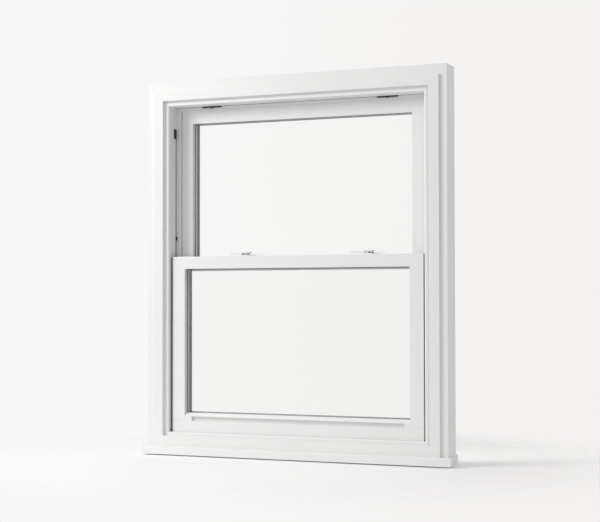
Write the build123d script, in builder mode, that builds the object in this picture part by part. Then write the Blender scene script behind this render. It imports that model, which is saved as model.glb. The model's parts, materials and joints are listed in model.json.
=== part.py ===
from build123d import *
import os

os.makedirs("parts", exist_ok=True)

# Single hung window, millimetres. X runs across, the room is on the -Y side, Z is up.
# The origin is under the middle of the sill board, which stands on the floor.

# Overall sizes
frame_width = 1014.0
frame_height = 1184.0
sill_thickness = 29.8

# Sill board: a nose towards the room, with a horn past each jamb
nose_projection = 13.8
horn_length = 12.5
horn_depth = 54.0
nose_round = 4.0
foot_height = 3.8
foot_setback = 25.0

# Room-side face of the frame: an outer strip, a raised band, a cove and an inner stop
strip_width = 23.5
head_strip_width = 31.0
band_width = 32.5
band_step = 7.0
band_round = 0.8
bottom_band_height = 33.0
cove_radius = 5.3
cove_setback = 13.0
stop_setback = 10.0
stop_width = 12.0
stop_round = 4.2
bottom_stop_height = 11.5
stop_back_gap = 1.0

# Depth of the sash channels
sash_setback = 10.6
sash_thickness = 38.0
running_gap = 1.5
parting_thickness = 3.6
upper_sash_gap = 3.5
trim_thickness = 22.0
trim_cover = 2.0
trim_setback = 12.0
trim_round = 2.0

# Jamb channel details
sash_side_gap = 7.0
parting_reach = 17.0
head_parting_reach = 8.0
parting_round = 1.2
slot_width = 5.0
slot_depth = 11.0

# Lower sash members
lower_stile_width = 44.4
lower_rail_height = 49.0
lift_rail_height = 24.7
lower_glass_height = 466.0
check_rail_height = 39.8
sash_round = 1.2
finger_groove_length = 722.0
finger_groove_height = 13.7
finger_groove_depth = 9.0
finger_groove_shift = 4.0
lift_bevel_depth = 10.0
lift_bevel_height = 10.5
joint_bevel = 0.9

# Upper sash members
upper_stile_width = 49.5
upper_top_rail_height = 45.3
upper_rail_drop = 6.0

# Sealed glass unit in a pocket round each sash
glazing_wall = 17.0
pocket_reach = 12.0
pane_edge_gap = 2.0
pane_thickness = 3.0
pane_spacing = 10.0
gasket_thickness = 1.0
gasket_reach = 1.3
spacer_inset = 4.0
spacer_reach = 1.0

# Sash locks on the lower check rail and keepers on the upper one
left_lock_x = -172.0
right_lock_x = 246.0
lock_base_length = 40.0
lock_base_width = 20.0
lock_base_height = 4.0
lock_post_radius = 5.0
lock_post_height = 4.5
lock_cap_length = 38.0
lock_cap_width = 18.0
lock_cap_height = 5.0
lock_cap_round = 1.5
lock_arm_reach = 60.0
lock_arm_width = 12.0
lock_arm_height = 4.5
lock_arm_overlap = 9.0
lock_arm_sink = 3.5
keeper_length = 44.0
keeper_width = 8.0
keeper_height = 9.0
keeper_setback = 1.0
keeper_round = 3.0

# Dark fittings on the head and the jambs
bar_length = 69.0
bar_width = 8.0
bar_height = 4.0
bar_end_gap = 97.5
bar_back_gap = 1.0
bar_nub_radius = 3.5
bar_nub_height = 2.0
clip_height = 32.0
clip_depth = 13.0
clip_thickness = 3.0
clip_drop = 70.0
clip_round = 2.0
clip_nub_radius = 3.0
clip_nub_spacing = 11.0
clip_nub_height = 2.0
jamb_stop_height = 13.0
jamb_stop_thickness = 4.0
jamb_stop_rise = 54.5
jamb_stop_round = 1.0

# Fixing holes through the jambs, in the outer channel below the upper sash
fixing_radius = 2.75
lower_fixing_level = 160.0
fixing_spacing = 340.0
fixing_inset = 9.0

# Depths, from the room to the outside
overall_depth = (
    nose_projection + cove_setback + sash_setback + 2 * sash_thickness
    + running_gap + parting_thickness + upper_sash_gap + trim_cover
)
nose_face = -overall_depth / 2
band_face = nose_face + nose_projection
strip_face = band_face + band_step
cove_face = band_face + cove_setback
stop_face = band_face + stop_setback
lower_face = cove_face + sash_setback
stop_back = lower_face - stop_back_gap
lower_back = lower_face + sash_thickness
parting_face = lower_back + running_gap
parting_back = parting_face + parting_thickness
upper_face = parting_back + upper_sash_gap
upper_back = upper_face + sash_thickness
trim_back = upper_back + trim_cover
jamb_back = trim_back - trim_thickness

# Half widths, from the outside inwards
frame_side = frame_width / 2
band_outer = frame_side - strip_width
band_inner = band_outer - band_width
channel_side = band_inner - cove_radius
stop_edge = channel_side - stop_width
sash_side = stop_edge - sash_side_gap
parting_edge = stop_edge - parting_reach
lower_sight = sash_side - lower_stile_width
upper_sight = sash_side - upper_stile_width
bar_offset = stop_edge - bar_end_gap - bar_length / 2

# Levels, from the floor up
sill_top = sill_thickness
rail_top = sill_top + bottom_band_height
bottom_stop_top = rail_top + bottom_stop_height
head_top = sill_top + frame_height
head_band_top = head_top - head_strip_width
head_band_edge = head_band_top - band_width
channel_top = head_band_edge - cove_radius
head_stop_edge = channel_top - stop_width
head_seat = head_band_edge - (band_inner - sash_side)
head_parting_edge = head_stop_edge - head_parting_reach
lower_rail_top = rail_top + lower_rail_height
lower_glass_bottom = lower_rail_top + lift_rail_height
lower_glass_top = lower_glass_bottom + lower_glass_height
check_top = lower_glass_top + check_rail_height
upper_check_top = check_top - upper_rail_drop
upper_check_bottom = upper_check_top - check_rail_height
upper_glass_top = head_seat - upper_top_rail_height
clip_level = head_stop_edge - clip_drop - clip_height
jamb_stop_level = check_top + jamb_stop_rise

# The middle of the cove's quarter arc lies this far from its centre, both ways
cove_mid = cove_radius * 2 ** -0.5

sides = (("left", -1), ("right", 1))


def front_plane(y):
    """Upright plane facing the room at depth y, with local x along X and local y along Z."""
    return Plane.XZ.offset(-y)


def mitre_plane(sign):
    """Plane of the joint between a jamb and the head, rising at 45 degrees from the band's corner."""
    return Plane(origin=(sign * band_inner, 0, head_band_edge), x_dir=(0, 1, 0), z_dir=(-sign, 0, 1))


def finish(builder, name):
    """Labels a finished piece and writes it to its own file."""
    builder.part.label = name
    export_step(builder.part, f"parts/{name}.step")


# Sill board, on a foot set back under its nose and its ends
with BuildPart() as sill_board:
    with BuildSketch(Plane.XY.offset(foot_height)):
        with Locations((0, (nose_face + trim_back) / 2)):
            Rectangle(frame_width, overall_depth)
        with Locations((0, nose_face + horn_depth / 2)):
            Rectangle(frame_width + 2 * horn_length, horn_depth)
    extrude(amount=sill_thickness - foot_height)
    nose_top = sill_board.faces().sort_by(Axis.Z)[-1].edges().sort_by(Axis.Y)[0]
    fillet(nose_top, radius=nose_round)
    with BuildSketch(Plane.XY):
        with Locations((0, (nose_face + foot_setback + trim_back) / 2)):
            Rectangle(frame_width - 2 * foot_setback, overall_depth - foot_setback)
    extrude(amount=foot_height)
finish(sill_board, "sill_board")

# Sill rail: carries the jambs, and its front is the bottom band
with BuildPart() as sill_rail:
    with BuildSketch(Plane.XY.offset(sill_top)):
        with Locations((0, (strip_face + jamb_back) / 2)):
            Rectangle(frame_width, jamb_back - strip_face)
        with Locations((0, (band_face + strip_face) / 2)):
            Rectangle(2 * band_outer, band_step)
    extrude(amount=bottom_band_height)
finish(sill_rail, "sill_rail")

# Jambs: the outer strip, the cove behind the band and the seat of the upper sash
for side, sign in sides:
    with BuildPart() as jamb:
        with BuildSketch(Plane.XY.offset(rail_top)):
            with BuildLine():
                Polyline(
                    (sign * band_inner, cove_face - cove_radius),
                    (sign * band_inner, strip_face),
                    (sign * frame_side, strip_face),
                    (sign * frame_side, jamb_back),
                    (sign * sash_side, jamb_back),
                    (sign * sash_side, parting_back),
                    (sign * channel_side, parting_back),
                    (sign * channel_side, cove_face),
                )
                ThreePointArc(
                    (sign * channel_side, cove_face),
                    (sign * (channel_side + cove_mid), cove_face - cove_radius + cove_mid),
                    (sign * band_inner, cove_face - cove_radius),
                )
            make_face()
        extrude(amount=head_top - rail_top)
        split(bisect_by=mitre_plane(sign), keep=Keep.BOTTOM)
        fixing_plane = Plane.YZ.offset(sign * sash_side)
        with BuildSketch(fixing_plane):
            with Locations((jamb_back - fixing_inset, lower_fixing_level + fixing_spacing / 2)):
                with GridLocations(0, fixing_spacing, 1, 2):
                    Circle(fixing_radius)
        extrude(amount=sign * (frame_side - sash_side), mode=Mode.SUBTRACT)
    finish(jamb, f"{side}_jamb")

# Head: the same section as the jambs, mitred to them
with BuildPart() as head:
    with BuildSketch(Plane.YZ.offset(-frame_side)):
        with BuildLine():
            Polyline(
                (cove_face - cove_radius, head_band_edge),
                (strip_face, head_band_edge),
                (strip_face, head_top),
                (jamb_back, head_top),
                (jamb_back, head_seat),
                (parting_back, head_seat),
                (parting_back, channel_top),
                (cove_face, channel_top),
            )
            ThreePointArc(
                (cove_face, channel_top),
                (cove_face - cove_radius + cove_mid, channel_top + cove_mid),
                (cove_face - cove_radius, head_band_edge),
            )
        make_face()
    extrude(amount=frame_width)
    for side, sign in sides:
        split(bisect_by=mitre_plane(sign), keep=Keep.TOP)
finish(head, "head")

# Raised bands round the room side, mitred at the head
for side, sign in sides:
    with BuildPart() as side_band:
        with BuildSketch(front_plane(strip_face)):
            with BuildLine():
                Polyline(
                    (sign * band_outer, rail_top),
                    (sign * band_outer, head_band_top),
                    (sign * band_inner, head_band_edge),
                    (sign * band_inner, rail_top),
                    close=True,
                )
            make_face()
        extrude(amount=band_step)
        fillet(side_band.edges().filter_by(Axis.Z).group_by(Axis.Y)[0], radius=band_round)
    finish(side_band, f"{side}_band")

with BuildPart() as head_band:
    with BuildSketch(front_plane(strip_face)):
        with BuildLine():
            Polyline(
                (-band_outer, head_band_top),
                (band_outer, head_band_top),
                (band_inner, head_band_edge),
                (-band_inner, head_band_edge),
                close=True,
            )
        make_face()
    extrude(amount=band_step)
    fillet(head_band.edges().filter_by(Axis.X).group_by(Axis.Y)[0], radius=band_round)
finish(head_band, "head_band")

# Inner stops that close the sash channel towards the room, mitred all round
for side, sign in sides:
    with BuildPart() as side_stop:
        with BuildSketch(front_plane(stop_back)):
            with BuildLine():
                Polyline(
                    (sign * channel_side, rail_top),
                    (sign * channel_side, channel_top),
                    (sign * stop_edge, head_stop_edge),
                    (sign * stop_edge, bottom_stop_top),
                    close=True,
                )
            make_face()
        extrude(amount=stop_back - stop_face)
        fillet(side_stop.edges().filter_by(Axis.Z).group_by(Axis.Y)[0], radius=stop_round)
    finish(side_stop, f"{side}_inner_stop")

with BuildPart() as head_stop:
    with BuildSketch(front_plane(stop_back)):
        with BuildLine():
            Polyline(
                (-channel_side, channel_top),
                (channel_side, channel_top),
                (stop_edge, head_stop_edge),
                (-stop_edge, head_stop_edge),
                close=True,
            )
        make_face()
    extrude(amount=stop_back - stop_face)
    fillet(head_stop.edges().filter_by(Axis.X).group_by(Axis.Y)[0], radius=stop_round)
finish(head_stop, "head_inner_stop")

with BuildPart() as bottom_stop:
    with BuildSketch(front_plane(stop_back)):
        with BuildLine():
            Polyline(
                (-channel_side, rail_top),
                (channel_side, rail_top),
                (stop_edge, bottom_stop_top),
                (-stop_edge, bottom_stop_top),
                close=True,
            )
        make_face()
    extrude(amount=stop_back - stop_face)
    fillet(bottom_stop.edges().filter_by(Axis.X).group_by(Axis.Y)[0].sort_by(Axis.Z)[-1], radius=stop_round)
finish(bottom_stop, "bottom_inner_stop")

# Channel liners: the lower sash runs between the side ones, which are slotted for its balances
for side, sign in sides:
    with BuildPart() as liner:
        with BuildSketch(Plane.XY.offset(rail_top)):
            with Locations((sign * (stop_edge + channel_side) / 2, (stop_back + parting_face) / 2)):
                Rectangle(stop_width, parting_face - stop_back)
        extrude(amount=channel_top - rail_top)
        with BuildSketch(Plane.XY.offset(rail_top)):
            with Locations((sign * (stop_edge + slot_depth / 2), parting_face - slot_width / 2)):
                Rectangle(slot_depth, slot_width)
        extrude(amount=clip_level - rail_top, mode=Mode.SUBTRACT)
    finish(liner, f"{side}_jamb_liner")

with BuildPart() as head_liner:
    with BuildSketch(Plane.XY.offset(head_stop_edge)):
        with Locations((0, (stop_back + parting_face) / 2)):
            Rectangle(2 * stop_edge, parting_face - stop_back)
    extrude(amount=stop_width)
finish(head_liner, "head_liner")

# Parting stops between the two sash channels
for side, sign in sides:
    with BuildPart() as parting:
        with BuildSketch(Plane.XY.offset(rail_top)):
            with Locations((sign * (parting_edge + channel_side) / 2, (parting_face + parting_back) / 2)):
                Rectangle(channel_side - parting_edge, parting_thickness)
        extrude(amount=channel_top - rail_top)
        nose = parting.edges().filter_by(Axis.Z).group_by(Axis.Y)[0].sort_by(Axis.X, reverse=sign > 0)[-1]
        fillet(nose, radius=parting_round)
    finish(parting, f"{side}_parting_stop")

with BuildPart() as head_parting:
    with BuildSketch(front_plane(parting_back)):
        with Locations((0, (head_parting_edge + channel_top) / 2)):
            Rectangle(2 * parting_edge, channel_top - head_parting_edge)
    extrude(amount=parting_thickness)
    fillet(head_parting.edges().filter_by(Axis.X).group_by(Axis.Y)[0].sort_by(Axis.Z)[0], radius=parting_round)
finish(head_parting, "head_parting_stop")

# Outer trim on the weather side, which holds the upper sash in
for side, sign in sides:
    with BuildPart() as outer_trim:
        with BuildSketch(front_plane(trim_back)):
            with Locations((sign * (sash_side + frame_side - trim_setback) / 2, (sill_top + head_seat) / 2)):
                Rectangle(frame_side - trim_setback - sash_side, head_seat - sill_top)
        extrude(amount=trim_thickness)
        fillet(outer_trim.edges().filter_by(Axis.Z).group_by(Axis.Y)[-1], radius=trim_round)
    finish(outer_trim, f"{side}_outer_trim")

with BuildPart() as head_trim:
    with BuildSketch(front_plane(trim_back)):
        with Locations((0, (head_seat + head_top - trim_setback) / 2)):
            Rectangle(frame_width - 2 * trim_setback, head_top - trim_setback - head_seat)
    extrude(amount=trim_thickness)
    fillet(head_trim.edges().filter_by(Axis.X).group_by(Axis.Y)[-1], radius=trim_round)
finish(head_trim, "head_outer_trim")

# Lower sash: the stiles stand on the bottom rail and are mitred into the check rail
lower_pocket_width = 2 * (lower_sight + pocket_reach)
lower_pocket_bottom = lower_glass_bottom - pocket_reach
lower_pocket_top = lower_glass_top + pocket_reach
pocket_depth = gasket_thickness + 2 * pane_thickness + pane_spacing

with BuildPart() as lower_bottom_rail:
    with BuildSketch(Plane.XY.offset(rail_top)):
        with Locations((0, (lower_face + lower_back) / 2)):
            Rectangle(2 * sash_side, sash_thickness)
    extrude(amount=lower_rail_height)
    fillet(lower_bottom_rail.edges().filter_by(Axis.Z).group_by(Axis.Y)[0], radius=sash_round)
finish(lower_bottom_rail, "lower_bottom_rail")

with BuildPart() as lift_rail:
    with BuildSketch(Plane.XY.offset(lower_rail_top)):
        with Locations((0, (lower_face + lower_back) / 2)):
            Rectangle(2 * lower_sight, sash_thickness)
    extrude(amount=lift_rail_height)
    with BuildSketch(Plane.XY.offset(lower_glass_bottom)):
        with Locations((0, lower_face + glazing_wall + pocket_depth / 2)):
            Rectangle(2 * lower_sight, pocket_depth)
    extrude(amount=-pocket_reach, mode=Mode.SUBTRACT)
    with BuildSketch(Plane.XY.offset(lower_rail_top)):
        with Locations((finger_groove_shift, lower_face + finger_groove_depth / 2)):
            Rectangle(finger_groove_length, finger_groove_depth)
    extrude(amount=finger_groove_height, mode=Mode.SUBTRACT)
    upper_front = lift_rail.edges().filter_by(Axis.X).group_by(Axis.Y)[0].sort_by(Axis.Z)[-1]
    room_front = lift_rail.faces().sort_by(Axis.Y)[0]
    chamfer(upper_front, length=lift_bevel_height, length2=lift_bevel_depth, reference=room_front)
finish(lift_rail, "lower_lift_rail")

for side, sign in sides:
    with BuildPart() as lower_stile:
        with BuildSketch(front_plane(lower_back)):
            with BuildLine():
                Polyline(
                    (sign * sash_side, lower_rail_top),
                    (sign * sash_side, check_top),
                    (sign * lower_sight, lower_glass_top),
                    (sign * lower_sight, lower_rail_top),
                    close=True,
                )
            make_face()
        extrude(amount=sash_thickness)
        with BuildSketch(front_plane(lower_face + glazing_wall + pocket_depth)):
            with Locations((0, (lower_pocket_bottom + lower_pocket_top) / 2)):
                Rectangle(lower_pocket_width, lower_pocket_top - lower_pocket_bottom)
        extrude(amount=pocket_depth, mode=Mode.SUBTRACT)
        fillet(lower_stile.edges().filter_by(Axis.Z).group_by(Axis.Y)[0], radius=sash_round)
        joint_edge = lower_stile.edges().filter_by(Axis.X).group_by(Axis.Y)[0].sort_by(Axis.Z)[0]
        chamfer(joint_edge, length=joint_bevel)
    finish(lower_stile, f"lower_{side}_stile")

with BuildPart() as lower_check_rail:
    with BuildSketch(front_plane(lower_back)):
        with BuildLine():
            Polyline(
                (-sash_side, check_top),
                (sash_side, check_top),
                (lower_sight, lower_glass_top),
                (-lower_sight, lower_glass_top),
                close=True,
            )
        make_face()
    extrude(amount=sash_thickness)
    with BuildSketch(front_plane(lower_face + glazing_wall + pocket_depth)):
        with Locations((0, (lower_pocket_bottom + lower_pocket_top) / 2)):
            Rectangle(lower_pocket_width, lower_pocket_top - lower_pocket_bottom)
    extrude(amount=pocket_depth, mode=Mode.SUBTRACT)
    fillet(lower_check_rail.edges().filter_by(Axis.X).group_by(Axis.Y)[0], radius=sash_round)
finish(lower_check_rail, "lower_check_rail")

# Upper sash: fixed in the outer channel, mitred at its four corners
upper_pocket_width = 2 * (upper_sight + pocket_reach)
upper_pocket_bottom = upper_check_top - pocket_reach
upper_pocket_top = upper_glass_top + pocket_reach

for side, sign in sides:
    with BuildPart() as upper_stile:
        with BuildSketch(front_plane(upper_back)):
            with BuildLine():
                Polyline(
                    (sign * sash_side, upper_check_bottom),
                    (sign * sash_side, head_seat),
                    (sign * upper_sight, upper_glass_top),
                    (sign * upper_sight, upper_check_top),
                    close=True,
                )
            make_face()
        extrude(amount=sash_thickness)
        with BuildSketch(front_plane(upper_face + glazing_wall + pocket_depth)):
            with Locations((0, (upper_pocket_bottom + upper_pocket_top) / 2)):
                Rectangle(upper_pocket_width, upper_pocket_top - upper_pocket_bottom)
        extrude(amount=pocket_depth, mode=Mode.SUBTRACT)
        fillet(upper_stile.edges().filter_by(Axis.Z).group_by(Axis.Y)[0], radius=sash_round)
    finish(upper_stile, f"upper_{side}_stile")

upper_rails = (
    ("upper_top_rail", head_seat, upper_glass_top),
    ("upper_check_rail", upper_check_bottom, upper_check_top),
)
for name, outer_level, inner_level in upper_rails:
    with BuildPart() as upper_rail:
        with BuildSketch(front_plane(upper_back)):
            with BuildLine():
                Polyline(
                    (-sash_side, outer_level),
                    (sash_side, outer_level),
                    (upper_sight, inner_level),
                    (-upper_sight, inner_level),
                    close=True,
                )
            make_face()
        extrude(amount=sash_thickness)
        with BuildSketch(front_plane(upper_face + glazing_wall + pocket_depth)):
            with Locations((0, (upper_pocket_bottom + upper_pocket_top) / 2)):
                Rectangle(upper_pocket_width, upper_pocket_top - upper_pocket_bottom)
        extrude(amount=pocket_depth, mode=Mode.SUBTRACT)
        fillet(upper_rail.edges().filter_by(Axis.X).group_by(Axis.Y)[0], radius=sash_round)
    finish(upper_rail, name)

# Sealed glass units: two panes, the spacer between them and the gasket towards the room
glass_units = (
    ("lower", lower_face, lower_sight, lower_glass_bottom, lower_glass_top),
    ("upper", upper_face, upper_sight, upper_check_top, upper_glass_top),
)
for sash, face, sight, bottom, top in glass_units:
    gasket_face = face + glazing_wall
    room_pane_face = gasket_face + gasket_thickness
    outer_pane_face = room_pane_face + pane_thickness + pane_spacing
    pane_reach = pocket_reach - pane_edge_gap
    sight_height = top - bottom
    middle = (bottom + top) / 2
    with BuildPart() as panes:
        for pane_face in (room_pane_face, outer_pane_face):
            with BuildSketch(front_plane(pane_face + pane_thickness)):
                with Locations((0, middle)):
                    Rectangle(2 * (sight + pane_reach), sight_height + 2 * pane_reach)
            extrude(amount=pane_thickness)
    finish(panes, f"{sash}_panes")
    with BuildPart() as spacer:
        spacer_edge = pane_reach - spacer_inset
        with BuildSketch(front_plane(outer_pane_face)):
            with Locations((0, middle)):
                Rectangle(2 * (sight + spacer_edge), sight_height + 2 * spacer_edge)
                Rectangle(2 * (sight - spacer_reach), sight_height - 2 * spacer_reach, mode=Mode.SUBTRACT)
        extrude(amount=pane_spacing)
    finish(spacer, f"{sash}_spacer")
    with BuildPart() as gasket:
        with BuildSketch(front_plane(room_pane_face)):
            with Locations((0, middle)):
                Rectangle(2 * (sight + pane_reach), sight_height + 2 * pane_reach)
                Rectangle(2 * (sight - gasket_reach), sight_height - 2 * gasket_reach, mode=Mode.SUBTRACT)
        extrude(amount=gasket_thickness)
    finish(gasket, f"{sash}_gasket")

# Sash locks: a base with its post, and a lever that turns on it
lock_middle = (lower_face + lower_back) / 2
cap_bottom = check_top + lock_base_height + lock_post_height
arm_bottom = cap_bottom - lock_arm_sink
lock_places = (("left", left_lock_x), ("right", right_lock_x))
for side, lock_x in lock_places:
    with BuildPart() as lock_base:
        with BuildSketch(Plane.XY.offset(check_top)):
            with Locations((lock_x, lock_middle)):
                SlotOverall(lock_base_length, lock_base_width)
        extrude(amount=lock_base_height)
        with BuildSketch(Plane.XY.offset(check_top + lock_base_height)):
            with Locations((lock_x, lock_middle)):
                Circle(lock_post_radius)
        extrude(amount=lock_post_height)
    finish(lock_base, f"{side}_lock_base")
    with BuildPart() as lever:
        with BuildSketch(Plane.XY.offset(cap_bottom)):
            with Locations((lock_x, lock_middle)):
                SlotOverall(lock_cap_length, lock_cap_width)
        extrude(amount=lock_cap_height)
        fillet(lever.faces().sort_by(Axis.Z)[-1].edges(), radius=lock_cap_round)
        arm_end = lock_x - lock_arm_reach
        arm_root = lock_x - lock_cap_length / 2 + lock_arm_overlap
        with BuildSketch(Plane.XY.offset(arm_bottom)):
            with Locations(((arm_end + arm_root) / 2, lock_middle)):
                SlotOverall(arm_root - arm_end, lock_arm_width)
        extrude(amount=lock_arm_height)
    finish(lever, f"{side}_lock_lever")

with BuildPart() as keepers:
    with BuildSketch(Plane.XY.offset(upper_check_top)):
        for side, lock_x in lock_places:
            with Locations((lock_x, upper_face + keeper_setback + keeper_width / 2)):
                RectangleRounded(keeper_length, keeper_width, keeper_round)
    extrude(amount=keeper_height)
finish(keepers, "lock_keepers")

# Dark bars under the head, at the back of the lower sash's channel
bar_middle = parting_face - bar_back_gap - bar_width / 2
for side, sign in sides:
    with BuildPart() as head_bar:
        with BuildSketch(Plane.XY.offset(head_stop_edge)):
            with Locations((sign * bar_offset, bar_middle)):
                SlotOverall(bar_length, bar_width)
        extrude(amount=-bar_height)
        with BuildSketch(Plane.XY.offset(head_stop_edge - bar_height)):
            with Locations((sign * bar_offset, bar_middle)):
                Circle(bar_nub_radius)
        extrude(amount=-bar_nub_height)
    finish(head_bar, f"{side}_head_bar")

# Dark clips that end the balance slots, and the small stops in them lower down
slot_edge = parting_face - slot_width
for side, sign in sides:
    with BuildPart() as clip:
        with BuildSketch(Plane.YZ.offset(sign * stop_edge)):
            with Locations((slot_edge - clip_depth / 2, clip_level + clip_height / 2)):
                RectangleRounded(clip_depth, clip_height, clip_round)
        extrude(amount=-sign * clip_thickness)
        with BuildSketch(Plane.YZ.offset(sign * (stop_edge - clip_thickness))):
            with Locations((slot_edge - clip_nub_radius - clip_round, clip_level + clip_height / 2)):
                with GridLocations(0, clip_nub_spacing, 1, 2):
                    Circle(clip_nub_radius)
        extrude(amount=-sign * clip_nub_height)
    finish(clip, f"{side}_jamb_clip")
    with BuildPart() as jamb_stop:
        with BuildSketch(Plane.YZ.offset(sign * (stop_edge + slot_depth))):
            with Locations((slot_edge + slot_width / 2, jamb_stop_level + jamb_stop_height / 2)):
                RectangleRounded(slot_width, jamb_stop_height, jamb_stop_round)
        extrude(amount=-sign * (slot_depth + jamb_stop_thickness))
    finish(jamb_stop, f"{side}_jamb_stop")
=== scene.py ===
import json
import math
import random

import bmesh
import bpy
from mathutils import Matrix, Vector


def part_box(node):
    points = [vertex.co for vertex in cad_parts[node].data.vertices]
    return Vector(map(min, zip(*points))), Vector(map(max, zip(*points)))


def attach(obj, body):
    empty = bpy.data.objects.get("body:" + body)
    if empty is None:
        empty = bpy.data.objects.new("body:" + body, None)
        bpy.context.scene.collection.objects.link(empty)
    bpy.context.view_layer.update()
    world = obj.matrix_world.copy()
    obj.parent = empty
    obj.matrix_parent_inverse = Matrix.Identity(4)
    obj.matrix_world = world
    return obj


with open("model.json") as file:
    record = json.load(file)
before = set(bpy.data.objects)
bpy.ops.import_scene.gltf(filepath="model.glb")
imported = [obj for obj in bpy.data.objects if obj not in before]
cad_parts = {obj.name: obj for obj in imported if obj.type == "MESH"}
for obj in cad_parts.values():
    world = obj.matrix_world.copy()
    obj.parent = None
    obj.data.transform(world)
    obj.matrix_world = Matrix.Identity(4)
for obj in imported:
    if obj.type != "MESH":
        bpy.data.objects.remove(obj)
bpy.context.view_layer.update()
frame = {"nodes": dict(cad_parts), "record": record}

MM = 0.001
SIDES = (("left", -1), ("right", 1))

# Camera, in metres and degrees, for a picture of 600 by 522
eye_place = Vector((1.671, -4.0458, 0.5022))
eye_turn = 22.29
eye_rise = 1.6
eye_roll = -0.08
eye_lens = 83.06
film_width = 36.0

# Studio: one soft lamp to the left, an even sky and a pale floor that fades into it
lamp_place = Vector((-2.3, -1.8, 2.05))
lamp_aim = Vector((0.0, 0.0, 0.6))
lamp_side = 1.3
lamp_watts = 65.0
sky_level = 0.61
sky_left = (0.94, 0.94, 0.938)
sky_right = (0.9, 0.885, 0.875)
floor_colour = (0.965, 0.96, 0.955)
floor_radius = 2.4
floor_fade = (0.4, 1.2)
floor_haze = 0.06

# Paints and plastics
frame_white = (0.84, 0.838, 0.83)
sash_white = (0.835, 0.835, 0.828)
liner_white = (0.80, 0.80, 0.79)
# The head liner is the jamb liners' vinyl made lighter: painted light that stands in for the light reaching
# the shaded underside of the head
head_liner_lit_white = (0.93, 0.93, 0.925)
lock_white = (0.84, 0.84, 0.83)
rubber_black = (0.06, 0.06, 0.062)
nylon_black = (0.022, 0.022, 0.024)
# The pile is near-black so that, in the gaps beside the lower sash, it also stands in as painted shade
pile_and_gap_shade_grey = (0.1, 0.1, 0.103)
# The foam is near-black so that, at the foot of the gaps beside the lower sash, it also stands in as painted
# shade
foam_and_shade_grey = (0.05, 0.05, 0.052)
spacer_metal = (0.88, 0.885, 0.89)
screw_metal = (0.62, 0.61, 0.59)
upper_glass_tint = (0.995, 0.997, 0.995)
lower_glass_tint = (0.976, 0.986, 0.978)


def low(node):
    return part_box(node)[0]


def high(node):
    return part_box(node)[1]


# Places read from the CAD pieces
sash_side = high("lower_right_stile").x
channel_edge = low("right_inner_stop").x
lower_face = low("lower_right_stile").y
lower_back = high("lower_right_stile").y
upper_face = low("upper_right_stile").y
rail_top = low("lower_bottom_rail").z
check_bottom = low("lower_check_rail").z
check_top = high("lower_check_rail").z
parting_edge = low("right_parting_stop").x
jamb_side = high("right_jamb").x


class Wire:
    """An output of a shader node. Arithmetic on it adds Math nodes, and node() adds any other kind."""

    def __init__(self, tree, socket=None):
        self.tree = tree
        self.socket = socket

    def node(self, kind, settings=None, sockets=None, output=0):
        """Adds a node: its settings come first, then the values or links of its sockets."""
        made = self.tree.nodes.new("ShaderNode" + kind)
        for setting, value in (settings or {}).items():
            setattr(made, setting, value)
        for socket, value in (sockets or {}).items():
            if isinstance(value, Wire):
                self.tree.links.new(value.socket, made.inputs[socket])
            elif made.inputs[socket].type == "RGBA":
                made.inputs[socket].default_value = (*value, 1.0)
            else:
                made.inputs[socket].default_value = value
        return Wire(self.tree, made.outputs[output] if made.outputs else None)

    def maths(self, operation, first, second):
        return self.node("Math", {"operation": operation}, {0: first, 1: second})

    def __add__(self, other):
        return self.maths("ADD", self, other)

    def __sub__(self, other):
        return self.maths("SUBTRACT", self, other)

    def __mul__(self, other):
        return self.maths("MULTIPLY", self, other)

    def __radd__(self, other):
        return self.maths("ADD", other, self)

    def __rsub__(self, other):
        return self.maths("SUBTRACT", other, self)

    def __rmul__(self, other):
        return self.maths("MULTIPLY", other, self)

    def size(self):
        """The value without its sign."""
        return self.maths("ABSOLUTE", self, 0.0)

    def root(self):
        """The square root of the value."""
        return self.maths("SQRT", self, 0.0)

    def scaled(self, factors):
        """A place with each of its axes multiplied by a factor."""
        return self.node("VectorMath", {"operation": "MULTIPLY"}, {0: self, 1: factors})

    def axis(self, letter):
        """One coordinate of a place."""
        return self.node("SeparateXYZ", sockets={"Vector": self}, output=letter)

    def noise(self, scale, detail=2.0):
        """Cloudy values from 0 to 1 at this place."""
        return self.node("TexNoise", sockets={"Vector": self, "Scale": scale, "Detail": detail})

    def step(self, start, end):
        """A smooth rise from 0 to 1 as the value goes from start to end."""
        limits = {"Value": self, "From Min": start, "From Max": end}
        return self.node("MapRange", {"interpolation_type": "SMOOTHSTEP"}, limits)

    def blend(self, first, second):
        """A mix of two colours, with this value as the second one's share."""
        return self.node("Mix", {"data_type": "RGBA"}, {0: self, 6: first, 7: second}, output=2)

    def bump(self, strength, depth):
        """A normal for a surface that rises by this value times depth."""
        return self.node("Bump", sockets={"Height": self, "Strength": strength, "Distance": depth})


def darker(colour, share):
    return tuple(channel * (1 - share) for channel in colour)


def new_finish(name):
    """An empty material, and the place on the surface, in metres, that its finish is worked out from."""
    finish = bpy.data.materials.new(name)
    finish.use_nodes = True
    finish.node_tree.nodes.clear()
    return finish, Wire(finish.node_tree).node("TexCoord", output="Object")


def close_finish(place, **sockets):
    """Ends a finish in one surface shader with these sockets, an underscore standing for a space."""
    named = {name.replace("_", " "): value for name, value in sockets.items()}
    shader = place.node("BsdfPrincipled", sockets=named)
    place.node("OutputMaterial", sockets={"Surface": shader})


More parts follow.
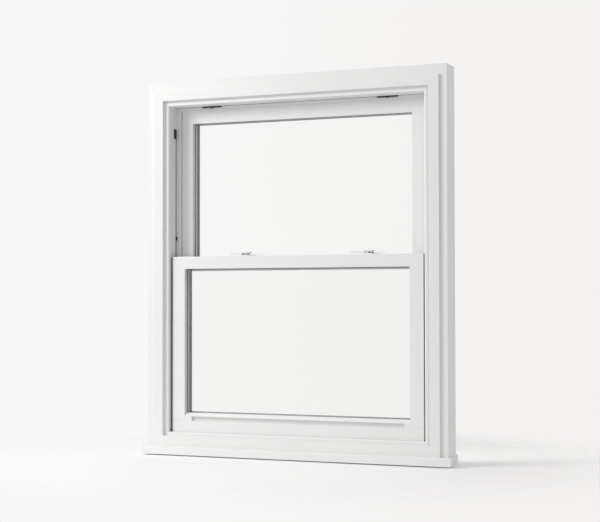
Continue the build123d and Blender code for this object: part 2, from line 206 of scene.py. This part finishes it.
def satin_paint(name, colour, long_axis):
    """Satin paint on wood: a rolled stipple, and the faint grain of the wood along the member."""
    finish, place = new_finish(name)
    grain_scale = [190.0, 190.0, 190.0]
    grain_scale[long_axis] = 6.0
    grain = place.scaled(grain_scale).noise(1.0, 4.0)
    stipple = place.noise(1300.0, 2.0)
    cloud = place.noise(3.0, 3.0)
    tone = (0.5 * cloud + 0.2 * grain).blend(colour, darker(colour, 0.035))
    close_finish(
        place,
        Base_Color=tone,
        Roughness=0.3 + 0.12 * stipple + 0.08 * cloud,
        IOR=1.5,
        Normal=(0.4 * grain + 0.6 * stipple).bump(0.2, 0.08 * MM),
    )
    return finish


def extruded_vinyl(name, colour, long_axis):
    """White extruded vinyl: fine die lines along its length, and a soft shine."""
    finish, place = new_finish(name)
    line_scale = [900.0, 900.0, 900.0]
    line_scale[long_axis] = 2.0
    lines = place.scaled(line_scale).noise(1.0, 2.0)
    cloud = place.noise(5.0, 2.0)
    close_finish(
        place,
        Base_Color=(0.6 * lines + 0.4 * cloud).blend(colour, darker(colour, 0.06)),
        Roughness=0.34 + 0.14 * lines,
        IOR=1.5,
        Normal=lines.bump(0.3, 0.06 * MM),
    )
    return finish


def moulded_plastic(name, colour, shine, grain_scale):
    """Moulded plastic with a fine even grain and a little unevenness in its shine."""
    finish, place = new_finish(name)
    grain = place.noise(grain_scale, 3.0)
    cloud = place.noise(60.0, 2.0)
    close_finish(
        place,
        Base_Color=(0.5 * cloud + 0.3 * grain).blend(colour, darker(colour, 0.12)),
        Roughness=shine + 0.1 * grain + 0.06 * cloud,
        IOR=1.5,
        Normal=grain.bump(0.2, 0.08 * MM),
    )
    return finish


def soft_rubber():
    """Matt rubber seal, dusty in places."""
    finish, place = new_finish("seal_rubber")
    grain = place.noise(2200.0, 2.0)
    dust = place.noise(35.0, 4.0).step(0.45, 0.8)
    close_finish(
        place,
        Base_Color=(0.35 * dust).blend(rubber_black, (0.2, 0.2, 0.195)),
        Roughness=0.55 + 0.2 * dust + 0.1 * grain,
        Normal=grain.bump(0.35, 0.05 * MM),
    )
    return finish


def fibre_pile():
    """Dark grey pile of the draught seals, near-black so that in the gaps beside the lower sash it is also
    painted shade.
    """
    finish, place = new_finish("seal_pile_and_gap_shade")
    fibres = place.scaled((2600.0, 400.0, 2600.0)).noise(1.0, 2.0)
    close_finish(
        place,
        Base_Color=fibres.blend(darker(pile_and_gap_shade_grey, 0.5), pile_and_gap_shade_grey),
        Roughness=0.85 + 0.1 * fibres,
        Normal=fibres.bump(0.5, 0.1 * MM),
    )
    return finish


def corner_foam_and_shade():
    """Open-celled foam, near-black so that it is also painted shade at the foot of the gaps."""
    finish, place = new_finish("corner_foam_and_shade")
    cells = place.node("TexVoronoi", sockets={"Vector": place, "Scale": 1300.0}, output="Distance")
    close_finish(
        place,
        Base_Color=cells.blend(darker(foam_and_shade_grey, 0.6), foam_and_shade_grey),
        Roughness=0.95 - 0.1 * cells,
        Normal=cells.bump(0.7, 0.4 * MM),
    )
    return finish


def spacer_aluminium():
    """Pale coated aluminium with a row of small holes along its middle, as spacer bars have. The holes are
    painted near-black, not cut: painted shade that stands in for their depth.
    """
    finish, place = new_finish("spacer_aluminium")
    hole_pitch = 6 * MM
    hole_radius = 0.8 * MM
    lower_middle = (low("lower_spacer").y + high("lower_spacer").y) / 2
    upper_middle = (low("upper_spacer").y + high("upper_spacer").y) / 2
    depth = place.axis("Y")
    off_middle = place.maths("MINIMUM", (depth - lower_middle).size(), (depth - upper_middle).size())
    facing = place.node("NewGeometry", output="Normal")
    upright = facing.axis("X").size().step(0.4, 0.6)
    along = upright * place.axis("Z") + (1 - upright) * place.axis("X")
    off_hole = along.maths("PINGPONG", along, hole_pitch / 2)
    distance = (off_middle * off_middle + off_hole * off_hole).root()
    # The holes are painted near-black: painted shade in place of the shadow inside real holes
    pinhole_shade = 1 - distance.step(0.6 * hole_radius, hole_radius)
    rolled = place.scaled((30.0, 3000.0, 30.0)).noise(1.0, 2.0)
    close_finish(
        place,
        Base_Color=pinhole_shade.blend(spacer_metal, (0.05, 0.05, 0.05)),
        Metallic=0.2 - 0.2 * pinhole_shade,
        Roughness=0.42 + 0.16 * rolled,
        Normal=(rolled - pinhole_shade).bump(0.3, 0.1 * MM),
    )
    return finish


def screw_steel():
    """Plated steel with fine scuffs."""
    finish, place = new_finish("screw_steel")
    scuffs = place.noise(900.0, 3.0)
    close_finish(
        place,
        Base_Color=scuffs.blend(screw_metal, darker(screw_metal, 0.3)),
        Metallic=1.0,
        Roughness=0.26 + 0.2 * scuffs,
        Normal=scuffs.bump(0.2, 0.05 * MM),
    )
    return finish


def float_glass(name, tint):
    """Clear float glass with faint smears. Lamps shine through it."""
    finish, place = new_finish(name)
    smears = place.scaled((3.0, 3.0, 1.2)).noise(2.0, 3.0).step(0.55, 0.8)
    glass = place.node(
        "BsdfPrincipled",
        sockets={
            "Base Color": tint,
            "Roughness": 0.006 * smears,
            "IOR": 1.5,
            "Transmission Weight": 1.0,
        },
    )
    clear = place.node("BsdfTransparent", sockets={"Color": tint})
    to_lamp = place.node("LightPath", output="Is Shadow Ray")
    shader = place.node("MixShader", sockets={0: to_lamp, 1: glass, 2: clear})
    place.node("OutputMaterial", sockets={"Surface": shader})
    return finish


def studio_floor():
    """Pale matt floor that fades into the sky round its edge."""
    finish, place = new_finish("studio_floor")
    reach = place.node("VectorMath", {"operation": "LENGTH"}, {0: place}, output="Value")
    cloud = place.noise(4.0, 3.0)
    surface = place.node(
        "BsdfPrincipled",
        sockets={
            "Base Color": (0.5 * cloud).blend(floor_colour, darker(floor_colour, 0.02)),
            "Roughness": 0.75 + 0.1 * cloud,
            "Specular IOR Level": 0.2,
        },
    )
    clear = place.node("BsdfTransparent")
    fade = floor_haze + (1 - floor_haze) * reach.step(*floor_fade)
    shader = place.node("MixShader", sockets={0: fade, 1: surface, 2: clear})
    place.node("OutputMaterial", sockets={"Surface": shader})
    return finish


AXIS_NAMES = ("across", "deep", "upright")
# The across liners, under the head, take the lighter white: painted light on the head's underside
liner_whites = (head_liner_lit_white, liner_white, liner_white)
painted = {}
for long_axis, axis_name in enumerate(AXIS_NAMES):
    white = liner_whites[long_axis]
    painted["frame", long_axis] = satin_paint("frame_paint_" + axis_name, frame_white, long_axis)
    painted["sash", long_axis] = satin_paint("sash_paint_" + axis_name, sash_white, long_axis)
    painted["liner", long_axis] = extruded_vinyl("liner_vinyl_" + axis_name, white, long_axis)
lock_plastic = moulded_plastic("lock_plastic", lock_white, 0.2, 700.0)
fitting_nylon = moulded_plastic("fitting_nylon", nylon_black, 0.42, 1600.0)
rubber = soft_rubber()
pile = fibre_pile()
foam = corner_foam_and_shade()
steel = screw_steel()
glazed = {
    "upper_panes": float_glass("upper_glass", upper_glass_tint),
    "lower_panes": float_glass("lower_glass", lower_glass_tint),
}
plain = {
    "gasket": rubber,
    "spacer": spacer_aluminium(),
    "lock": lock_plastic,
    "dark_fitting": fitting_nylon,
}


def dress_cad_nodes():
    """Gives each CAD piece the finish of its slot, with the grain along its longest side."""
    for name, node in frame["nodes"].items():
        slot = node.material_slots[0].material.name
        size = high(name) - low(name)
        long_axis = max(range(3), key=lambda axis: size[axis])
        finish = glazed.get(name) or plain.get(slot) or painted[slot, long_axis]
        node.material_slots[0].material = finish


def loft(mesh, rings, closed=False):
    """Skins a row of like rings of points, capped at both ends unless the row closes on itself."""
    loops = [[mesh.verts.new(point) for point in ring] for ring in rings]
    pairs = list(zip(loops, loops[1:]))
    if closed:
        pairs.append((loops[-1], loops[0]))
    for first, second in pairs:
        for here in range(len(first)):
            there = (here + 1) % len(first)
            mesh.faces.new((first[here], first[there], second[there], second[here]))
    if not closed:
        mesh.faces.new(loops[0][::-1])
        mesh.faces.new(loops[-1])


def turned(mesh, profile, place, axis, sides=24):
    """A round piece turned from (radius, height) pairs about an axis through its place."""
    to_axis = Vector((0, 0, 1)).rotation_difference(Vector(axis)).to_matrix()
    rings = []
    for radius, height in profile:
        angles = [2 * math.pi * side / sides for side in range(sides)]
        ring = [Vector((radius * math.cos(a), radius * math.sin(a), height)) for a in angles]
        rings.append([Vector(place) + to_axis @ point for point in ring])
    loft(mesh, rings)


def soft_block(mesh, lowest, highest, edge):
    """A block with all its edges chamfered."""
    lowest = Vector(lowest)
    highest = Vector(highest)

    def ring(inset, level):
        corners = []
        near_x, far_x = lowest.x + inset, highest.x - inset
        near_y, far_y = lowest.y + inset, highest.y - inset
        for x, y, turn_x, turn_y in (
            (near_x, near_y, edge, 0),
            (far_x, near_y, -edge, 0),
            (far_x, near_y, 0, edge),
            (far_x, far_y, 0, -edge),
            (far_x, far_y, -edge, 0),
            (near_x, far_y, edge, 0),
            (near_x, far_y, 0, -edge),
            (near_x, near_y, 0, edge),
        ):
            corners.append(Vector((x + turn_x, y + turn_y, level)))
        return corners

    rings = [
        ring(edge * 0.8, lowest.z),
        ring(0.0, lowest.z + edge * 0.8),
        ring(0.0, highest.z - edge * 0.8),
        ring(edge * 0.8, highest.z),
    ]
    loft(mesh, rings)


def finish_piece(name, mesh, finish):
    """Turns a mesh into a piece of the window, with its finish."""
    bmesh.ops.recalc_face_normals(mesh, faces=mesh.faces)
    data = bpy.data.meshes.new(name)
    mesh.to_mesh(data)
    mesh.free()
    data.materials.append(finish)
    data.shade_smooth()
    data.set_sharp_from_angle(angle=math.radians(35))
    piece = bpy.data.objects.new(name, data)
    bpy.context.scene.collection.objects.link(piece)
    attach(piece, "root")
    return piece


def pile_seal(name, start, end, reach, backing_width, seed):
    """A draught seal: a backing strip with rows of short tufts that reach towards the other side."""
    draw = random.Random(seed)
    start, end, reach = Vector(start), Vector(end), Vector(reach)
    along = (end - start).normalized()
    out = reach.normalized()
    across = along.cross(out)
    backing_height = 0.7 * MM
    tuft_pitch = 1.5 * MM
    tuft_width = 0.55 * MM
    rows = (-0.32, 0.0, 0.32)
    mesh = bmesh.new()
    half = across * backing_width / 2
    section = (-half, half, half + out * backing_height, -half + out * backing_height)
    loft(mesh, [[start + corner for corner in section], [end + corner for corner in section]])
    count = int((end - start).length / tuft_pitch)
    for row in rows:
        for tuft in range(count):
            foot = start + along * (tuft + 0.5) * tuft_pitch + across * row * backing_width
            lean = along * draw.uniform(-0.5, 0.5) * MM + across * draw.uniform(-0.3, 0.3) * MM
            tip = foot + out * reach.length * draw.uniform(0.86, 0.98) + lean
            wide = along * tuft_width
            deep = across * tuft_width
            foot = foot + out * backing_height * 0.8
            bottom = [foot - wide - deep, foot + wide - deep, foot + wide + deep, foot - wide + deep]
            top = [tip + (corner - foot) * 0.45 for corner in bottom]
            loft(mesh, [bottom, top])
    return finish_piece(name, mesh, pile)


def draught_seals():
    """Pile seals on the lower sash's sides, and behind its check rail where the two sashes meet. The side
    seals sit forward in their gaps, so that their dark pile also fills the gaps as painted shade.
    """
    # Set 7 mm behind the sash's face, far forward in the gap: painted shade as well as a seal
    seal_depth = lower_face + 7 * MM
    gap = channel_edge - sash_side
    ends = 4 * MM
    above_pad = 10 * MM
    below_bolt = 10 * MM
    for side, sign in SIDES:
        foot = (sign * sash_side, seal_depth, rail_top + above_pad)
        top = (sign * sash_side, seal_depth, check_top - below_bolt)
        pile_seal(side + "_sash_seal", foot, top, (sign * gap, 0, 0), 5 * MM, seed=3 + sign)
    level = (check_bottom + check_top) / 2
    reach = parting_edge - ends
    between = upper_face - lower_back
    pile_seal(
        "meeting_seal",
        (-reach, lower_back, level),
        (reach, lower_back, level),
        (0, between, 0),
        6 * MM,
        seed=7,
    )


def cross_screw(mesh, place, axis, head_radius):
    """A countersunk screw head with a dished middle and the four arms of its driver."""
    rise = head_radius * 0.16
    turned(
        mesh,
        (
            (head_radius * 0.95, -rise),
            (head_radius, 0.0),
            (head_radius * 0.92, rise * 0.7),
            (head_radius * 0.6, rise),
            (head_radius * 0.5, rise * 0.9),
            (head_radius * 0.2, -rise * 0.6),
        ),
        place,
        axis,
    )
    to_axis = Vector((0, 0, 1)).rotation_difference(Vector(axis)).to_matrix()
    arm_width = head_radius * 0.13
    arm_reach = head_radius * 0.62
    for turn in (0.4, 0.4 + math.pi / 2):
        along = Vector((math.cos(turn), math.sin(turn), 0))
        across = Vector((-along.y, along.x, 0))
        corners = [
            along * arm_reach * end + across * arm_width * side
            for end, side in ((-1, -1), (1, -1), (1, 1), (-1, 1))
        ]
        bottom = [Vector(place) + to_axis @ (corner + Vector((0, 0, rise * 0.4))) for corner in corners]
        top = [Vector(place) + to_axis @ (corner + Vector((0, 0, rise * 1.05))) for corner in corners]
        loft(mesh, [bottom, top])


def keeper_screws():
    """Two screws in each keeper on the upper sash's check rail."""
    mesh = bmesh.new()
    lowest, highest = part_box("lock_keepers")
    depth = (lowest.y + highest.y) / 2
    screw_spread = 14 * MM
    for base in ("left_lock_base", "right_lock_base"):
        lock_middle = (low(base).x + high(base).x) / 2
        for sign in (-1, 1):
            place = (lock_middle + sign * screw_spread, depth, highest.z)
            cross_screw(mesh, place, (0, 0, 1), 2.6 * MM)
    finish_piece("keeper_screws", mesh, steel)


def lock_trims():
    """The rivet that each lock's lever turns on, and the thumb ridges at the end of its arm."""
    rivet_radius = 4.2 * MM
    rivet_rise = 1.1 * MM
    arm_height = 4.5 * MM
    first_ridge = 6 * MM
    ridge_pitch = 3 * MM
    half_ridge = Vector((0.7 * MM, 4.2 * MM, 0.45 * MM))
    for side in ("left", "right"):
        lever_low, lever_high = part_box(side + "_lock_lever")
        pivot = (low(side + "_lock_base") + high(side + "_lock_base")) / 2
        pivot.z = lever_high.z
        mesh = bmesh.new()
        turns = (0.0, 0.3, 0.6, 0.95, 1.3)
        dome = [(rivet_radius * math.cos(turn), rivet_rise * math.sin(turn)) for turn in turns]
        turned(mesh, [(rivet_radius, -0.3 * MM), *dome], pivot, (0, 0, 1))
        finish_piece(side + "_lock_rivet", mesh, lock_plastic)
        mesh = bmesh.new()
        for ridge in range(4):
            ridge_x = lever_low.x + first_ridge + ridge * ridge_pitch
            middle = Vector((ridge_x, pivot.y, lever_low.z + arm_height + 0.25 * MM))
            soft_block(mesh, middle - half_ridge, middle + half_ridge, 0.3 * MM)
        finish_piece(side + "_lock_ridges", mesh, lock_plastic)


def tilt_latches():
    """A flush latch at each end of the lower check rail: its slider, and the bolt that enters the channel."""
    slider_start, slider_end = 62 * MM, 12 * MM
    first_ridge, ridge_pitch = 44 * MM, 2.6 * MM
    half_ridge = Vector((0.7 * MM, 5 * MM, 0.7 * MM))
    middle = (lower_face + lower_back) / 2
    gap = channel_edge - sash_side
    for side, sign in SIDES:
        mesh = bmesh.new()
        near, far = sorted((sign * (sash_side - slider_start), sign * (sash_side - slider_end)))
        slider_low = (near, middle - 8 * MM, check_top - MM)
        slider_high = (far, middle + 8 * MM, check_top + MM)
        soft_block(mesh, slider_low, slider_high, 0.5 * MM)
        for ridge in range(5):
            ridge_x = sign * (sash_side - first_ridge + ridge * ridge_pitch)
            ridge_middle = Vector((ridge_x, middle, check_top + 1.3 * MM))
            soft_block(mesh, ridge_middle - half_ridge, ridge_middle + half_ridge, 0.3 * MM)
        finish_piece(side + "_tilt_latch", mesh, lock_plastic)
        mesh = bmesh.new()
        near, far = sorted((sign * (sash_side - MM), sign * (sash_side + 0.92 * gap)))
        bolt_low = (near, lower_face + 5 * MM, check_top - 9 * MM)
        bolt_high = (far, lower_face + 15 * MM, check_top - 2 * MM)
        soft_block(mesh, bolt_low, bolt_high, 0.8 * MM)
        finish_piece(side + "_latch_bolt", mesh, fitting_nylon)


def corner_pads_and_shade():
    """Foam pads that close the foot of the gap at each side of the lower sash; near-black, they are also
    painted shade at the foot of each gap.
    """
    pad_height = 9 * MM
    for side, sign in SIDES:
        mesh = bmesh.new()
        near, far = sorted((sign * (sash_side + 0.2 * MM), sign * (channel_edge - 0.2 * MM)))
        soft_block(
            mesh,
            (near, lower_face + MM, rail_top),
            (far, lower_back - 8 * MM, rail_top + pad_height),
            0.8 * MM,
        )
        finish_piece(side + "_corner_pad_and_shade", mesh, foam)


def balance_straps_in_slot_shade():
    """Dark straps of the sash balances, in the slots of the jamb liners, with the teeth that grip them.
    Near-black, they also fill the slots with painted shade.
    """
    slot_back = low("right_parting_stop").y
    slot_front = high("right_jamb_clip").y
    top = low("right_jamb_clip").z
    tooth_pitch = 9 * MM
    for side, sign in SIDES:
        mesh = bmesh.new()
        near, far = sorted((sign * (channel_edge + 0.5 * MM), sign * (channel_edge + 4.0 * MM)))
        strap_front, strap_back = slot_front + 0.1 * MM, slot_back - 0.1 * MM
        soft_block(mesh, (near, strap_front, check_top), (far, strap_back, top), 0.4 * MM)
        tooth_near, tooth_far = sorted((sign * (channel_edge + 0.1 * MM), sign * (channel_edge + 0.7 * MM)))
        level = check_top + tooth_pitch
        while level < top - tooth_pitch:
            soft_block(
                mesh,
                (tooth_near, strap_front + 0.8 * MM, level),
                (tooth_far, strap_back - 0.8 * MM, level + 3 * MM),
                0.25 * MM,
            )
            level += tooth_pitch
        finish_piece(side + "_balance_strap_in_slot_shade", mesh, fitting_nylon)


def upper_sash_seals():
    """Pile seals between the parting stops and the upper sash's stiles."""
    seal_low = low("upper_right_stile").z + 4 * MM
    seal_high = high("right_parting_stop").z - 24 * MM
    parting_back = high("right_parting_stop").y
    between = upper_face - parting_back
    for side, sign in SIDES:
        x = sign * (parting_edge + 3.2 * MM)
        pile_seal(
            side + "_upper_seal",
            (x, parting_back, seal_low),
            (x, parting_back, seal_high),
            (0, between, 0),
            5 * MM,
            seed=12 + sign,
        )


def lock_gap_shade_blocks():
    """Near-black blocks in the gaps under each lock's cap, in front of its post: painted shade that stands in
    for the shadow in those gaps.
    """
    places = {"left": (-6.0, 11.5), "right": (3.5, 13.0)}
    for side, offsets in places.items():
        base_low, base_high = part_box(side + "_lock_base")
        middle = (base_low + base_high) / 2
        mesh = bmesh.new()
        for offset in offsets:
            x = middle.x + offset * MM
            soft_block(
                mesh,
                (x - 3.0 * MM, base_low.y + 1.0 * MM, base_low.z + 2.0 * MM),
                (x + 3.0 * MM, base_low.y + 4.6 * MM, base_high.z - 1.0 * MM),
                0.5 * MM,
            )
        finish_piece(side + "_lock_gap_shade_blocks", mesh, fitting_nylon)


def head_seal():
    """A rubber bulb along the slot under the head, between the two dark bars and beside them."""
    bulb = 1.0 * MM
    left_low, left_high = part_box("left_head_bar")
    right_low, right_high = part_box("right_head_bar")
    reach = channel_edge - 2 * MM
    depth = (left_low.y + left_high.y) / 2
    turns = [math.pi * step / 8 for step in range(9)]
    section = [(depth + bulb * math.cos(turn), left_high.z - bulb * math.sin(turn)) for turn in turns]
    mesh = bmesh.new()
    for start, end in ((-reach, left_low.x), (left_high.x, right_low.x), (right_high.x, reach)):
        loft(mesh, [[(x, y, z) for y, z in section] for x in (start, end)])
    finish_piece("head_seal", mesh, rubber)


def fixing_plugs():
    """Domed plugs that close the fixing holes in the jambs, at both of their ends."""
    for side, sign in SIDES:
        mount = next(m for m in frame["record"]["mounts"] if m["name"] == side + "_fixings")
        hole_depth = mount["pos_m"][1]
        spread = mount["dims"]["spacing_y_mm"] * MM / 2
        hole = mount["dims"]["hole_r_mm"] * MM
        mesh = bmesh.new()
        cap = [(hole * 1.45 * math.cos(a), hole * 0.4 * math.sin(a)) for a in (0.0, 0.35, 0.7, 1.05, 1.35)]
        profile = [(hole * 0.96, -3 * MM), (hole * 0.96, 0.0), *cap]
        for level in (mount["pos_m"][2] - spread, mount["pos_m"][2] + spread):
            turned(mesh, profile, (sign * jamb_side, hole_depth, level), (sign, 0, 0))
            turned(mesh, profile, (sign * sash_side, hole_depth, level), (-sign, 0, 0))
        finish_piece(side + "_fixing_plugs", mesh, lock_plastic)


def outer_glass_seals():
    """On the weather side of each glass unit, white beads along the stiles and a rubber lip all round."""
    bead_width = 4.6 * MM
    lip_width = 5.4 * MM
    lip_drops = {"lower": 0.6 * MM, "upper": 3.1 * MM}
    lip_rises = {"lower": 3.0 * MM, "upper": 2.0 * MM}
    for sash in ("lower", "upper"):
        stile = sash + "_right_stile"
        sight = low(stile).x
        sash_back = high(stile).y - 0.5 * MM
        glass_back = high(sash + "_panes").y + 0.15 * MM
        gasket_low, gasket_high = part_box(sash + "_gasket")
        rebate = gasket_high.x - sight
        bottom, top = gasket_low.z + rebate, gasket_high.z - rebate
        bead = (
            (0.0, glass_back),
            (bead_width, glass_back),
            (bead_width, glass_back + 2 * MM),
            (bead_width * 0.6, sash_back - MM),
            (0.0, sash_back),
        )
        mesh = bmesh.new()
        for sign in (-1, 1):
            ends = [[(sign * (sight - inset), y, level) for inset, y in bead] for level in (bottom, top)]
            loft(mesh, ends)
        finish_piece(sash + "_outer_beads", mesh, painted["sash", 2])
        lip = (
            (0.0, glass_back),
            (1.0, glass_back),
            (0.85, glass_back + 0.8 * MM),
            (0.0, glass_back + 2 * MM),
        )
        rise, drop = lip_rises[sash], lip_drops[sash]
        rings = []
        for sign, level, reach in ((-1, bottom, rise), (1, bottom, rise), (1, top, -drop), (-1, top, -drop)):
            start = sight - bead_width
            rings.append([(sign * (start - share * lip_width), y, level + share * reach) for share, y in lip])
        mesh = bmesh.new()
        loft(mesh, rings, closed=True)
        finish_piece(sash + "_outer_seal", mesh, rubber)


def set_camera():
    camera = bpy.data.objects.new("camera", bpy.data.cameras.new("camera"))
    bpy.context.scene.collection.objects.link(camera)
    camera.data.lens = eye_lens
    camera.data.sensor_width = film_width
    camera.matrix_world = (
        Matrix.Translation(eye_place)
        @ Matrix.Rotation(math.radians(eye_turn), 4, "Z")
        @ Matrix.Rotation(math.radians(90 + eye_rise), 4, "X")
        @ Matrix.Rotation(math.radians(eye_roll), 4, "Z")
    )
    bpy.context.scene.camera = camera


def set_sky():
    """Even light for the window, and a pale background a little darker to the right."""
    world = bpy.data.worlds.new("studio_sky")
    world.use_nodes = True
    world.node_tree.nodes.clear()
    start = Wire(world.node_tree)
    sight = start.node("TexCoord", output="Generated")
    turn = math.radians(eye_turn)
    to_right = (math.cos(turn), math.sin(turn), 0.0)
    dot = {"operation": "DOT_PRODUCT"}
    rightness = start.node("VectorMath", dot, {0: sight, 1: to_right}, output="Value")
    backdrop = rightness.step(-0.2, 0.2).blend(sky_left, sky_right)
    to_eye, mirrored, through = (
        start.node("LightPath", output=f"Is {kind} Ray") for kind in ("Camera", "Glossy", "Transmission")
    )
    seen = start.maths("MAXIMUM", start.maths("MAXIMUM", to_eye, mirrored), through)
    light = start.node("Background", sockets={"Color": (1.0, 1.0, 1.0), "Strength": sky_level})
    view = start.node("Background", sockets={"Color": backdrop, "Strength": 1.0})
    shader = start.node("MixShader", sockets={0: seen, 1: light, 2: view})
    start.node("OutputWorld", sockets={"Surface": shader})
    bpy.context.scene.world = world


def set_lamp():
    lamp = bpy.data.objects.new("soft_box", bpy.data.lights.new("soft_box", "AREA"))
    bpy.context.scene.collection.objects.link(lamp)
    lamp.data.shape = "SQUARE"
    lamp.data.size = lamp_side
    lamp.data.energy = lamp_watts
    lamp.location = lamp_place
    lamp.visible_glossy = False
    lamp.rotation_mode = "QUATERNION"
    lamp.rotation_quaternion = (lamp_aim - lamp_place).to_track_quat("-Z", "Y")


def set_floor():
    mesh = bmesh.new()
    bmesh.ops.create_circle(mesh, cap_ends=True, segments=96, radius=floor_radius)
    data = bpy.data.meshes.new("studio_floor")
    mesh.to_mesh(data)
    mesh.free()
    data.materials.append(studio_floor())
    floor = bpy.data.objects.new("studio_floor", data)
    bpy.context.scene.collection.objects.link(floor)


dress_cad_nodes()
draught_seals()
keeper_screws()
lock_trims()
tilt_latches()
corner_pads_and_shade()
balance_straps_in_slot_shade()
upper_sash_seals()
lock_gap_shade_blocks()
head_seal()
fixing_plugs()
outer_glass_seals()
set_camera()
set_sky()
set_lamp()
set_floor()
bpy.context.scene.view_settings.view_transform = "Standard"
